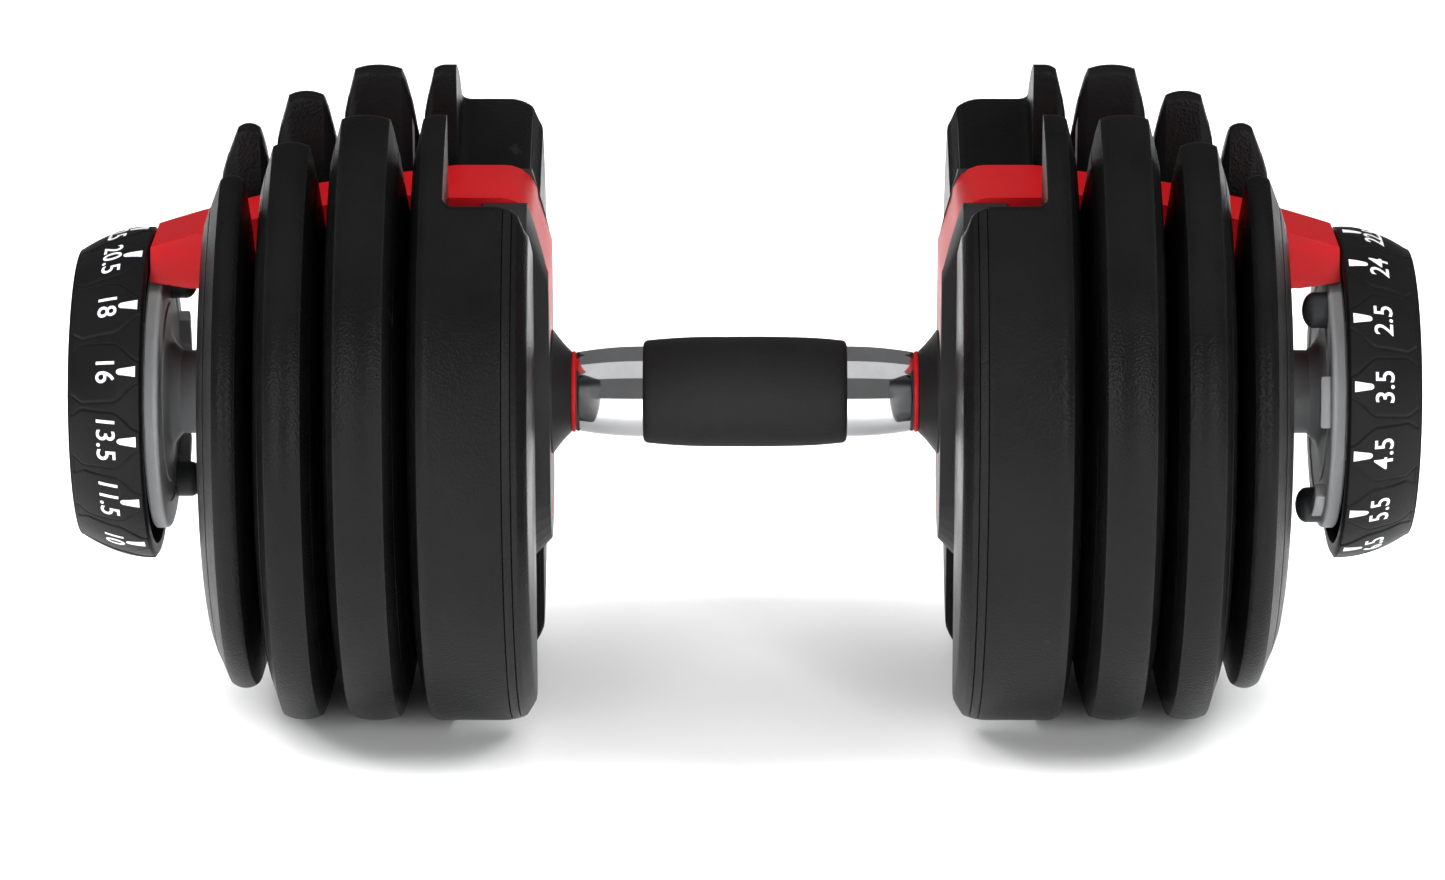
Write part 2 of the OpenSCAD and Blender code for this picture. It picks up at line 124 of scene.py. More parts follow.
def lathe(profile, segments=128, relief=None):
    """Turns a closed profile of (x, r) about the handle's axis. relief(x, turn) is added to r."""
    profile = np.array(profile, float)
    turn = np.linspace(0, 2 * math.pi, segments, endpoint=False)
    count = len(profile)
    verts, faces, rings = [], [], []
    for x, r in profile:
        if r < 1e-6:
            rings.append([len(verts)])
            verts.append((x, 0, 0))
            continue
        radius = np.full(segments, r) if relief is None else r + relief(x, r, turn)
        rings.append(list(range(len(verts), len(verts) + segments)))
        verts.extend(zip(np.full(segments, x), -radius * np.sin(turn), radius * np.cos(turn)))
    for j in range(count):
        a, b = rings[j], rings[(j + 1) % count]
        if len(a) == 1 and len(b) == 1:
            continue
        for i in range(segments):
            k = (i + 1) % segments
            if len(a) == 1:
                faces.append((a[0], b[k], b[i]))
            elif len(b) == 1:
                faces.append((a[i], a[k], b[0]))
            else:
                faces.append((a[i], a[k], b[k], b[i]))
    return np.array(verts), faces


def prism(outline, x0, x1):
    """Outline of (y, z) points extruded along X."""
    outline = np.asarray(outline, float)
    return loft([np.column_stack([np.full(len(outline), x), outline]) for x in (x0, x1)])


def turned_by(part, degrees):
    """The part turned about the handle's axis, from the top towards -Y."""
    verts, faces = part
    a = math.radians(degrees)
    y, z = verts[:, 1], verts[:, 2]
    turned = [verts[:, 0], y * math.cos(a) - z * math.sin(a), y * math.sin(a) + z * math.cos(a)]
    return np.column_stack(turned), faces


def moved(part, dx=0.0, dy=0.0, dz=0.0):
    return part[0] + np.array([dx, dy, dz]), part[1]


def joined(parts):
    verts, faces, start = [], [], 0
    for v, f in parts:
        verts.append(v)
        faces.extend(tuple(i + start for i in face) for face in f)
        start += len(v)
    return np.concatenate(verts), faces


def to_mesh(name, part):
    mesh = bpy.data.meshes.new(name)
    mesh.from_pydata(part[0].tolist(), [], part[1])
    made = bmesh.new()
    made.from_mesh(mesh)
    bmesh.ops.recalc_face_normals(made, faces=made.faces)
    made.to_mesh(mesh)
    made.free()
    return mesh


def union(parts):
    """Boolean union of closed parts."""
    objects = [bpy.data.objects.new(f"union_{i}", to_mesh(f"union_{i}", p)) for i, p in enumerate(parts)]
    for o in objects:
        bpy.context.scene.collection.objects.link(o)
    for other in objects[1:]:
        step = objects[0].modifiers.new("union", "BOOLEAN")
        step.operation = "UNION"
        step.solver = "EXACT"
        step.object = other
    graph = bpy.context.evaluated_depsgraph_get()
    mesh = bpy.data.meshes.new_from_object(objects[0].evaluated_get(graph))
    verts = np.array([v.co for v in mesh.vertices], float)
    faces = [tuple(p.vertices) for p in mesh.polygons]
    bpy.data.meshes.remove(mesh)
    for o in objects:
        old = o.data
        bpy.data.objects.remove(o)
        bpy.data.meshes.remove(old)
    return verts, faces


def piece(name, part, side, body, material, nodes=(), crease=35, bevel=0.0):
    """Makes a visible piece from a part in one end's frame, and fixes it to its CAD body."""
    verts = part[0] * np.array([SIDES[side], SIDES[side], 1]) + np.array([0, 0, AXIS])
    mesh = to_mesh(name, (verts * MM, part[1]))
    mesh.shade_smooth()
    mesh.set_sharp_from_angle(angle=math.radians(crease))
    mesh.materials.append(material)
    obj = bpy.data.objects.new(name, mesh)
    bpy.context.scene.collection.objects.link(obj)
    if bevel:
        soften(obj, bevel)
    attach(obj, body)
    if nodes:
        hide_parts(*nodes)
    return obj


def soften(obj, width, segments=3, angle=32):
    """Rounded edges as real geometry."""
    edge = obj.modifiers.new("edges", "BEVEL")
    edge.width = width * MM
    edge.segments = segments
    edge.limit_method = "ANGLE"
    edge.angle_limit = math.radians(angle)
    edge.harden_normals = False


# ---------------------------------------------------------------- materials

class Nodes:
    """Small helper that builds one procedural material."""

    def __init__(self, name):
        self.material = bpy.data.materials.new(name)
        self.material.use_nodes = True
        self.tree = self.material.node_tree
        self.shader = self.tree.nodes["Principled BSDF"]
        self.place = self.add("ShaderNodeTexCoord").outputs["Object"]

    def add(self, kind, **values):
        node = self.tree.nodes.new(kind)
        for key, value in values.items():
            if hasattr(node, key) and key not in node.inputs:
                setattr(node, key, value)
            else:
                node.inputs[key].default_value = value
        return node

    def link(self, a, b):
        self.tree.links.new(a, b)

    def noise(self, scale, detail=3.0, roughness=0.5, stretch=None):
        node = self.add("ShaderNodeTexNoise", Scale=scale, Detail=detail, Roughness=roughness)
        if stretch:
            mapping = self.add("ShaderNodeMapping")
            mapping.inputs["Scale"].default_value = stretch
            self.link(self.place, mapping.inputs["Vector"])
            self.link(mapping.outputs["Vector"], node.inputs["Vector"])
        else:
            self.link(self.place, node.inputs["Vector"])
        return node.outputs["Fac"]

    def cells(self, scale):
        node = self.add("ShaderNodeTexVoronoi", Scale=scale)
        self.link(self.place, node.inputs["Vector"])
        return node.outputs["Distance"]

    def remap(self, value, low, high, out_low, out_high):
        node = self.add("ShaderNodeMapRange")
        self.link(value, node.inputs["Value"])
        for key, number in zip(("From Min", "From Max", "To Min", "To Max"), (low, high, out_low, out_high)):
            node.inputs[key].default_value = number
        return node.outputs["Result"]

    def maths(self, operation, a, b):
        node = self.add("ShaderNodeMath")
        node.operation = operation
        for i, value in enumerate((a, b)):
            if isinstance(value, (int, float)):
                node.inputs[i].default_value = value
            else:
                self.link(value, node.inputs[i])
        return node.outputs[0]

    def mix(self, factor, a, b):
        node = self.add("ShaderNodeMix")
        node.data_type = "RGBA"
        self.link(factor, node.inputs["Factor"])
        for key, value in ((6, a), (7, b)):
            if isinstance(value, tuple):
                node.inputs[key].default_value = (*value, 1)
            else:
                self.link(value, node.inputs[key])
        return node.outputs[2]

    # Mask of convex edges from pointiness: it lightens them partly as wear and partly as a painted highlight
    def edge_wear_and_sheen(self, low=0.52, high=0.6):
        geometry = self.add("ShaderNodeNewGeometry")
        return self.remap(geometry.outputs["Pointiness"], low, high, 0, 1)

    def bump(self, heights_and_depths):
        """Stacks bumps. Each is (height, depth in metres, strength)."""
        last = None
        for height, depth, strength in heights_and_depths:
            node = self.add("ShaderNodeBump", Strength=strength, Distance=depth)
            self.link(height, node.inputs["Height"])
            if last is not None:
                self.link(last, node.inputs["Normal"])
            last = node.outputs["Normal"]
        self.link(last, self.shader.inputs["Normal"])

    def finish(self, colour, roughness, **uniform):
        self.link(colour, self.shader.inputs["Base Color"])
        self.link(roughness, self.shader.inputs["Roughness"])
        for key, value in uniform.items():
            self.shader.inputs[key.replace("_", " ")].default_value = value
        return self.material


def moulded_plastic(name, dark, light, worn_and_sheen, rough, grain=1300, grain_depth=0.00012, grain_strength=0.35,
                    shine=0.3):
    """Moulded plastic: a pebbled grain, faint flow clouds, small scuffs, and convex edges lightened partly as
    wear and partly as a painted highlight.
    """
    m = Nodes(name)
    clouds = m.noise(28, 4, 0.6)
    fine = m.noise(grain * 1.7, 2, 0.6)
    pebbles = m.cells(grain)
    scuffs = m.noise(210, 5, 0.7, stretch=(1, 0.25, 0.25))
    base = m.mix(m.remap(clouds, 0.35, 0.68, 0, 1), dark, light)
    scuffed = m.mix(m.remap(scuffs, 0.66, 0.74, 0, 0.55), base, worn_and_sheen)
    # Convex edges pulled towards the lighter colour: part wear, part painted highlight standing in for edge
    # sheen
    colour = m.mix(m.maths("MULTIPLY", m.edge_wear_and_sheen(), 0.7), scuffed, worn_and_sheen)
    broad = m.remap(clouds, 0.3, 0.7, rough[0], rough[1])
    roughness = m.maths("ADD", broad, m.remap(fine, 0.3, 0.7, -0.05, 0.05))
    m.bump([(pebbles, grain_depth, grain_strength), (fine, grain_depth * 0.5, grain_strength * 0.6),
            (m.noise(430, 4, 0.65), 0.0004, 0.22)])
    return m.finish(colour, roughness, Specular_IOR_Level=shine)


def metal(name, dark, light, rough, brush=(1, 1, 1), depth=0.00002, strength=0.2):
    """Metal with fine brushed lines, a soft haze and a few handling marks."""
    m = Nodes(name)
    haze = m.noise(60, 4, 0.6)
    lines = m.noise(900, 3, 0.6, stretch=brush)
    marks = m.noise(400, 6, 0.75)
    base = m.mix(m.remap(haze, 0.35, 0.65, 0, 1), dark, light)
    colour = m.mix(m.remap(marks, 0.68, 0.78, 0, 0.35), base, dark)
    broad = m.remap(haze, 0.3, 0.7, rough[0], rough[1])
    roughness = m.maths("ADD", broad, m.remap(marks, 0.62, 0.78, 0, 0.12))
    m.bump([(lines, depth, strength)])
    return m.finish(colour, roughness, Metallic=1.0)


def soft_rubber(name):
    """Foam rubber sleeve: matt, with open-cell grain and a slight sheen."""
    m = Nodes(name)
    clouds = m.noise(45, 4, 0.6)
    cells = m.cells(1500)
    fine = m.noise(2600, 3, 0.65)
    colour = m.mix(m.remap(clouds, 0.35, 0.65, 0, 1), (0.0045, 0.0045, 0.005), (0.0075, 0.0075, 0.008))
    roughness = m.remap(fine, 0.3, 0.7, 0.62, 0.8)
    m.bump([(cells, 0.00016, 0.4), (fine, 0.00008, 0.4)])
    return m.finish(colour, roughness, Sheen_Weight=0.03, Sheen_Roughness=0.4, Specular_IOR_Level=0.3)


def printed_paint(name):
    """White pad-printed paint with slight ink density changes."""
    m = Nodes(name)
    density = m.noise(900, 4, 0.6)
    colour = m.mix(m.remap(density, 0.3, 0.7, 0, 1), (0.78, 0.78, 0.84), (0.92, 0.92, 0.95))
    roughness = m.remap(density, 0.3, 0.7, 0.4, 0.55)
    m.bump([(density, 0.00004, 0.25)])
    return m.finish(colour, roughness)


# Plastics: darkest and lightest colour, colour of scuffs and of convex edges (wear plus painted highlight),
# roughness from and to
PLATE = moulded_plastic("plate_black", (0.0038, 0.0038, 0.004), (0.006, 0.006, 0.0063), (0.017, 0.017, 0.018),
                        (0.3, 0.42), grain_depth=0.00018, grain_strength=0.5, shine=0.1)
BLACK = moulded_plastic("housing_black", (0.006, 0.006, 0.0066), (0.009, 0.009, 0.0096),
                        (0.022, 0.022, 0.023), (0.4, 0.52), grain=1700)
DIAL = moulded_plastic("dial_black", (0.0056, 0.0056, 0.006), (0.0082, 0.0082, 0.0086), (0.022, 0.022, 0.023),
                       (0.42, 0.54), grain=2400, grain_depth=0.00006, shine=0.1)
RED = moulded_plastic("arm_red", (0.4, 0.0045, 0.0075), (0.46, 0.007, 0.01), (0.5, 0.02, 0.022), (0.36, 0.48),
                      grain=2200, grain_depth=0.00005, shine=0.16)
GREY = moulded_plastic("hub_grey", (0.3, 0.304, 0.312), (0.36, 0.364, 0.372), (0.42, 0.42, 0.426),
                       (0.42, 0.55), grain=1800, grain_depth=0.00007)
SHAFT = moulded_plastic("shaft_grey", (0.13, 0.132, 0.137), (0.16, 0.162, 0.168), (0.22, 0.22, 0.226),
                        (0.42, 0.55), grain=1800, grain_depth=0.00007)
DARK_GREY = moulded_plastic("disc_grey", (0.02, 0.021, 0.023), (0.03, 0.031, 0.034), (0.06, 0.06, 0.062),
                            (0.45, 0.55), grain=1800)
RUBBER = soft_rubber("grip_foam")

# Metals: darkest and lightest colour, roughness from and to
CHROME = metal("chrome", (0.66, 0.665, 0.68), (0.76, 0.765, 0.78), (0.03, 0.08), depth=0.000006,
               strength=0.12)
STEEL = metal("machined_steel", (0.42, 0.42, 0.43), (0.52, 0.52, 0.53), (0.28, 0.4), brush=(1, 0.06, 0.06))
SCREWS = metal("screw_steel", (0.5, 0.5, 0.5), (0.62, 0.62, 0.61), (0.2, 0.32))
CORE = metal("cast_core", (0.2, 0.2, 0.205), (0.28, 0.28, 0.285), (0.5, 0.65), depth=0.0001, strength=0.5)
PRINT = printed_paint("printed_white")


# ---------------------------------------------------------------- plates

# Crown from and to along X, by plate, as seen between the bevels
CROWNS = [(88.0, 94.9), (104.7, 119.0), (128.7, 139.4), (148.4, 155.2)]
CROWN_RISE = 1.2
TIP_ROUND = 2.8

# Bevels at the sides of a crown: (part of the way from the crown to the face, inset below the rim)
INNER_BEVEL = [(0.0, 1.2), (0.16, 3.4), (0.47, 9.5), (0.65, 15.0), (0.88, 21.5), (1.0, 24.0)]
OUTER_SHOULDER = [(0.0, 1.2), (0.15, 3.2), (0.35, 6.0), (0.62, 9.4), (0.85, 13.2), (0.97, 17.0), (1.0, 20.0)]
INNER_LINES = (0.42, 0.72)
OUTER_LINES = (0.5,)
LINE_DEPTH = 0.38
FACE_INSET = 26.0

# How far the slot's walls and ear tips fall back beside each bevel
WALL_INNER = 4.6
WALL_OUTER = 2.2
WALL_ROUND = 0.9


def c_outline(radius, centre, wall, tip):
    """Outline of a plate in (y, z): round outside, open at the top, with a flat foot and rounded ear tips."""
    tip_y = wall + tip
    tip_z = centre + math.sqrt((radius - tip) ** 2 - tip_y ** 2)
    start = math.atan2(tip_z - centre, tip_y)
    arc = np.linspace(start, -math.pi - start, 320)
    outer = np.column_stack([radius * np.cos(arc), centre + radius * np.sin(arc)])
    outer[:, 1] = np.maximum(outer[:, 1], FOOT)
    left = np.linspace(math.pi - start, 0, 9)[1:]
    left_tip = np.column_stack([-tip_y + tip * np.cos(left), tip_z + tip * np.sin(left)])
    down = np.linspace(tip_z, 0, 22)[1:]
    left_wall = np.column_stack([np.full(21, -wall), down])
    around = np.linspace(math.pi, 2 * math.pi, 60)[1:]
    bottom = np.column_stack([wall * np.cos(around), wall * np.sin(around)])
    right_wall = np.column_stack([np.full(21, wall), np.linspace(0, tip_z, 22)[1:]])
    right = np.linspace(math.pi, start, 9)[1:-1]
    right_tip = np.column_stack([tip_y + tip * np.cos(right), tip_z + tip * np.sin(right)])
    return np.concatenate([outer, left_tip, left_wall, bottom, right_wall, right_tip])


def bevel_points(edge, face, table, lines):
    """Stations (x, inset) from a crown's edge to a face, with fine moulded lines in them."""
    parts = [part for part, _ in table]
    insets = [inset for _, inset in table]
    stations = {part: inset for part, inset in table}
    half = 0.16 / abs(face - edge)
    for line in lines:
        for shift, depth in ((-half, 0.0), (0.0, LINE_DEPTH), (half, 0.0)):
            stations[line + shift] = float(np.interp(line + shift, parts, insets)) + depth
    return [(edge + (face - edge) * part, stations[part]) for part in sorted(stations)]


def plate_profile(n):
    """Stations of (x, inset from the rim), from the inner face to the outer face."""
    x0, x1, _ = PLATES[n]
    c0, c1 = CROWNS[n]
    middle, half = (c0 + c1) / 2, (c1 - c0) / 2
    crown = []
    for t in np.linspace(-0.86, 0.86, 11):
        flat = n == 0 and t < 0
        crown.append((middle + half * t, 0.0 if flat else CROWN_RISE * abs(t) ** 2.1))
    outer = bevel_points(c1, x1, OUTER_SHOULDER, OUTER_LINES) + [(x1, FACE_INSET)]
    if n == 0:
        return [(c0, 0.0)] + crown + outer
    inner = bevel_points(c0, x0, INNER_BEVEL, INNER_LINES) + [(x0, FACE_INSET)]
    return inner[::-1] + crown + outer


def wall_inset(n, x):
    """How far the slot's wall falls back at x: it follows the bevels, with rounded edges at the two faces."""
    x0, x1, _ = PLATES[n]
    c0, c1 = CROWNS[n]
    inset = 0.0
    near = x1 - x
    if x > c1:
        inset = WALL_OUTER * ((x - c1) / (x1 - c1)) ** 1.3
    if n and x < c0:
        inset = WALL_INNER * (c0 - x) / (c0 - x0)
        near = x - x0
    if near < WALL_ROUND:
        inset += WALL_ROUND - math.sqrt(max(0.0, WALL_ROUND ** 2 - (WALL_ROUND - near) ** 2))
    return inset


def plate_body(n):
    x0, x1, _ = PLATES[n]
    rim, centre = RIMS[n]
    rows = plate_profile(n)
    rounds = [x1 - WALL_ROUND * t for t in (1.0, 0.4, 0.15)]
    if n:
        rounds += [x0 + WALL_ROUND * t for t in (0.15, 0.4, 1.0)]
    for x in rounds:
        at = next(i for i, row in enumerate(rows) if row[0] > x)
        (xa, ia), (xb, ib) = rows[at - 1], rows[at]
        if min(x - xa, xb - x) > 0.08:
            rows.insert(at, (x, ia + (x - xa) / (xb - xa) * (ib - ia)))
    first, last = rows[0], rows[-1]
    inner_wall, outer_wall = wall_inset(n, first[0]), wall_inset(n, last[0])
    loops = []

    def add(x, inset, wall):
        outline = c_outline(rim - inset, centre, SLOT + wall, TIP_ROUND)
        loops.append(np.column_stack([np.full(len(outline), x), outline]))

    # Shallow panel in each flat face
    if n:
        add(first[0] + 0.8, first[1] + 5.6, inner_wall + 4.8)
        add(first[0] + 0.15, first[1] + 5.0, inner_wall + 4.2)
        add(first[0], first[1] + 4.8, inner_wall + 4.0)
    for x, inset in rows:
        add(x, inset, wall_inset(n, x))
    add(last[0], last[1] + 4.8, outer_wall + 4.0)
    add(last[0] - 0.15, last[1] + 5.0, outer_wall + 4.2)
    add(last[0] - 0.8, last[1] + 5.6, outer_wall + 4.8)
    return loft(loops)


RIMS = [(100.0, 0.0), (100.0, 0.0), (96.0, -4.0), (86.5, -4.0)]

# Wings of the inner plate: their inner end is rounded over, with two fine moulded lines round it
WING_X0 = PLATES[0][0]
WING_PROFILE = [(0.0, 7.6), (0.25, 6.2), (1.3, 4.4), (2.9, 1.9), (3.25, 1.55), (4.55, 0.95), (4.75, 1.3),
                (4.95, 0.85), (7.15, 0.28), (7.35, 0.66), (7.55, 0.24), (9.0, 0.06), (10.5, 0.0), (18.0, 0.0),
                (22.0, 0.0), (23.0, 0.0), (24.0, 0.0), (24.6, 0.0), (25.0, 0.0), (26.0, 0.0), (28.0, 0.02)]
WING_TOP = ((WING_GAP, 61.0), (65.0, 76.5))


def wing_outline(radius, wall, drop):
    """Outline of one wing in (y, z): the rim, the sloping top and the straight inner side."""
    (ya, za), (yb, zb) = WING_TOP
    slope = (zb - za) / (yb - ya)
    down = drop * math.sqrt(1 + slope * slope)
    base = za - slope * ya - down
    a, b, c = 1 + slope ** 2, 2 * slope * base, base ** 2 - radius ** 2
    top_y = (-b + math.sqrt(b * b - 4 * a * c)) / (2 * a)
    inner_y = WING_GAP + wall
    top = (top_y, slope * top_y + base)
    corner = (inner_y, slope * inner_y + base)
    low_z = -math.sqrt(radius ** 2 - inner_y ** 2)
    start, end = math.atan2(top[1], top[0]), math.atan2(low_z, inner_y)
    cut_top, cut_corner, cut_low = 2.2, 3.5, 4.0
    arc = np.linspace(start - cut_top / radius, end + cut_low / radius, 150)
    rim = np.column_stack([radius * np.cos(arc), radius * np.sin(arc)])
    rim[:, 1] = np.maximum(rim[:, 1], FOOT)

    def bend(p, q, r, steps=7):
        t = np.linspace(0, 1, steps + 2)[1:-1, None]
        return (1 - t) ** 2 * np.array(p) + 2 * t * (1 - t) * np.array(q) + t * t * np.array(r)

    low_start = np.array([inner_y, low_z + cut_low])
    wall_top = np.array([inner_y, corner[1] - cut_corner])
    direction = np.array([1, slope]) / math.sqrt(1 + slope * slope)
    slope_start = np.array(corner) + direction * cut_corner
    slope_end = np.array(top) - direction * cut_top
    wall_line = np.linspace(low_start, wall_top, 60)
    top_line = np.linspace(slope_start, slope_end, 20)
    return np.concatenate([rim, bend(rim[-1], (inner_y, low_z), low_start), wall_line,
                           bend(wall_top, corner, slope_start), top_line, bend(slope_end, top, rim[0])])


def wing(side):
    loops = []
    fillet = 3.0
    for dx, inset in WING_PROFILE:
        x = WING_X0 + dx
        over = min(1.0, max(0.0, 10.0 - dx) / 8.4)
        drop = 6.5 * (1 - math.sqrt(max(0.0, 1 - over ** 2))) if over < 1 else 6.5 + (1.6 - dx) * 1.2
        flare = max(0.0, min(dx, 25.0) - (25.0 - fillet))
        drop -= fillet - math.sqrt(fillet ** 2 - flare ** 2)
        wall = 1.1 * (1 - smoothstep(dx / 1.6))
        outline = wing_outline(RIMS[0][0] - inset, wall, drop)
        loops.append(np.column_stack([np.full(len(outline), x), outline[:, 0] * side, outline[:, 1]]))
    return loft(loops)


# The tongue and peg that hang each plate in its selector disc, by plate: tongue from, peg from, peg to
HOOKS = [(93.1, 88.1, 93.2), (99.7, 103.6, 108.7), (124.5, 128.4, 133.5), (145.0, 148.9, 154.0)]
PEG_Z = -20.7
PEG_R = 2.0
TONGUE_Z = -22.6
TONGUE_HALF = 5.0
TONGUE_T = 4
TONGUE_FOOT = -SLOT - 6.5


def hook(n):
    tongue_x, peg_x0, peg_x1 = HOOKS[n]
    half = TONGUE_HALF
    a = np.linspace(0, math.pi, 17)
    top = np.column_stack([half * np.cos(a), TONGUE_Z + half * np.sin(a)])
    outline = np.concatenate([[(half, TONGUE_FOOT)], top, [(-half, TONGUE_FOOT)]])
    tongue = prism(outline, tongue_x, tongue_x + TONGUE_T)
    r = PEG_R
    chamfer = 0.4
    peg = lathe([(peg_x0, 0), (peg_x0, r - chamfer), (peg_x0 + chamfer, r), (peg_x1 - chamfer, r),
                 (peg_x1, r - chamfer), (peg_x1, 0)], 32)
    return joined([tongue, moved(peg, dz=PEG_Z)])


def build_plates():
    for n in range(4):
        if n == 0:
            body = union([plate_body(0), wing(1), wing(-1)])
        else:
            body = plate_body(n)
        part = joined([body, hook(n)])
        for side in SIDES:
            piece(f"plate_{n + 1}_shell_{side}", part, side, f"plate_{n + 1}_{side}", PLATE,
                  [f"plate_{n + 1}_{side}"], crease=30)


# ---------------------------------------------------------------- dial

LABELS = ["2.5", "3.5", "4.5", "5.5", "6.5", "8", "9", "10", "11.5", "13.5", "16", "18", "20.5", "22.5", "24"]
STEP = 360 / len(LABELS)
TOP_LABEL = 13
DIAL_TURN = {"right": -0.6, "left": 5.7}
RIM_X = RING_X0 + 0.8
CROWN_DROP = 6.6
CROWN_L = 20.8
PAD_RISE = 0.28
DIGIT_TOP_X = 186.9
DIGIT_H = 5.8
DIGIT_WIDTH = 1.0
PRINT_RISE = 0.12
PRINT_SINK = 0.3
TICK = [(180.7, 1.6), (186.4, 0.75)]


def ring_radius(x):
    return RING_R - CROWN_DROP * ((np.asarray(x, float) - RIM_X) / CROWN_L) ** 2


def pad_half_width(x):
    """Half width of the raised shield under each number: a narrow neck at the rim that swells outwards."""
    body = 2.9 + 5.5 * smoothstep((x - 179.4) / 8.6)
    end = 1 - smoothstep((x - 196.6) / 4.4) * 0.32
    return body * end


def pad_relief(x, turn, offset):
    """Height of the shields and of the fine groove round them at x, for an array of turns in radians."""
    r = float(ring_radius(x))
    step = math.radians(STEP)
    away = np.abs((turn - math.radians(offset) + step / 2) % step - step / 2) * r
    inside = (pad_half_width(x) - away) * 0.85
    fade = float(smoothstep((200.9 - x) / 1.2))
    raised = PAD_RISE * smoothstep(inside / 0.4 + 0.5)
    groove = 0.26 * np.exp(-((inside + 0.42) / 0.26) ** 2)
    return (raised - groove - PAD_RISE) * fade


def dial_ring(offset):
    steps = 74
    outer = [(RIM_X + (RING_X1 - 1.3 - RIM_X) * k / steps) for k in range(steps + 1)]
    end_r = float(ring_radius(outer[-1]))
    inner = RING_R - 4.6
    profile = [(RING_X0 + 0.1, inner + 0.5), (RING_X0, inner + 1.0), (RING_X0, RING_R - 1.6),
               (RING_X0 + 0.12, RING_R - 0.9), (RING_X0 + 0.45, RING_R - 0.42)]
    first = len(profile)
    profile += [(x, float(ring_radius(x))) for x in outer]
    last = len(profile)
    profile += [(RING_X1 - 0.75, end_r - 0.35), (RING_X1 - 0.3, end_r - 0.8), (RING_X1 - 0.05, end_r - 1.3),
                (RING_X1, 43.5), (RING_X1 - 0.3, 43.05), (RING_X1 - 4.3, 43.0), (RING_X1 - 4.3, 38.0),
                (RING_X1 - 7.3, 38.0), (RING_X1 - 7.3, inner - 5), (RING_X1 - 8.3, inner - 2.6),
                (RING_X1 - 11.3, inner - 1.0), (188.0, inner - 0.45), (183.0, inner - 0.15), (180.2, inner)]
    rims = {round(x, 4) for x, _ in profile[first:last]}

    def relief(x, r, turn):
        if round(x, 4) in rims and abs(r - float(ring_radius(x))) < 1e-6:
            return pad_relief(x, turn, offset)
        return np.full(len(turn), -PAD_RISE if r > 44.2 and x < RIM_X else 0.0)

    return lathe(profile, 1080, relief)


def on_dial(u, x, rise, centre):
    """A point on the dial: u along the reading direction, x along the handle, rise above the shield."""
    r = ring_radius(x)
    turn = math.radians(centre) - u / r
    out = r + rise
    return np.column_stack([x, -out * np.sin(turn), out * np.cos(turn)])


def text_part(text, centre):
    curve = bpy.data.curves.new("label", "FONT")
    curve.body = text
    curve.size = 1
    curve.align_x = "CENTER"
    curve.extrude = 0.02
    curve.offset = 0.008
    curve.resolution_u = 5
    curve.space_character = 1.04
    obj = bpy.data.objects.new("label", curve)
    bpy.context.scene.collection.objects.link(obj)
    graph = bpy.context.evaluated_depsgraph_get()
    mesh = bpy.data.meshes.new_from_object(obj.evaluated_get(graph))
    made = bmesh.new()
    made.from_mesh(mesh)
    bmesh.ops.remove_doubles(made, verts=made.verts, dist=1e-5)
    levels = np.linspace(min(v.co.y for v in made.verts), max(v.co.y for v in made.verts), 8)[1:-1]
    for level in levels:
        everything = made.verts[:] + made.edges[:] + made.faces[:]
        bmesh.ops.bisect_plane(made, geom=everything, plane_co=(0, level, 0), plane_no=(0, 1, 0))
    made.to_mesh(mesh)
    made.free()
    flat = np.array([v.co for v in mesh.vertices], float)
    faces = [tuple(p.vertices) for p in mesh.polygons]
    bpy.data.objects.remove(obj)
    bpy.data.meshes.remove(mesh)
    bpy.data.curves.remove(curve)
    low, high = flat[:, 1].min(), flat[:, 1].max()
    scale = DIGIT_H / (high - low)
    u = (flat[:, 0] - (flat[:, 0].min() + flat[:, 0].max()) / 2) * scale * DIGIT_WIDTH
    x = DIGIT_TOP_X + DIGIT_H - (flat[:, 1] - low) * scale
    rise = np.where(flat[:, 2] > 0, PRINT_RISE, -PRINT_SINK)
    return on_dial(u, x, rise, centre), faces


def tick_part(centre):
    """The wedge mark over a number, with a rounded point."""
    (x0, w0), (x1, w1) = TICK
    stations = [(x, w0 + (w1 - w0) * (x - x0) / (x1 - x0)) for x in np.linspace(x0, x1 - w1, 9)]
    stations += [(x1 - w1 + w1 * math.sin(t), w1 * math.cos(t)) for t in np.linspace(0.3, 1.35, 5)]
    loops = []
    for x, w in stations:
        low = on_dial(np.array([-w, w]), np.array([x, x]), -PRINT_SINK, centre)
        high = on_dial(np.array([w, -w]), np.array([x, x]), PRINT_RISE, centre)
        loops.append(np.concatenate([low, high]))
    return loft(loops)


def dial_marks(offset):
    parts = []
    for i, text in enumerate(LABELS):
        centre = STEP * (i - TOP_LABEL) + offset
        parts += [text_part(text, centre), tick_part(centre)]
    return joined(parts)


# Grey hub: a disc behind the ring, a sleeve round the bar, and pads and studs on the disc's inner side
DISC_X0, DISC_X1 = 174.8, 179.4
HUB_BORE = 8.05
HUB_SLEEVE = 16.2
HUB_INNER_X = 171.0
HUB_FLOOR_X = 189.8
PAD_TURNS = (-12, 50)
PAD_HALF_TURN = 11.8
PAD_R = (33.8, 38.6)
PAD_CORNER = 0.9
# Sections of a pad: (x, part of its full width)
PAD_SECTIONS = ((171.8, 0.94), (171.95, 0.97), (172.4, 1.0), (175.6, 1.0))
STUD_TURNS = (-62, 68)
STUD_RADIUS = 34.6
STUD_X, STUD_ROOT_X = 167.4, 175.6
STUD_DOME = 3.4
STUD_R = 5.4


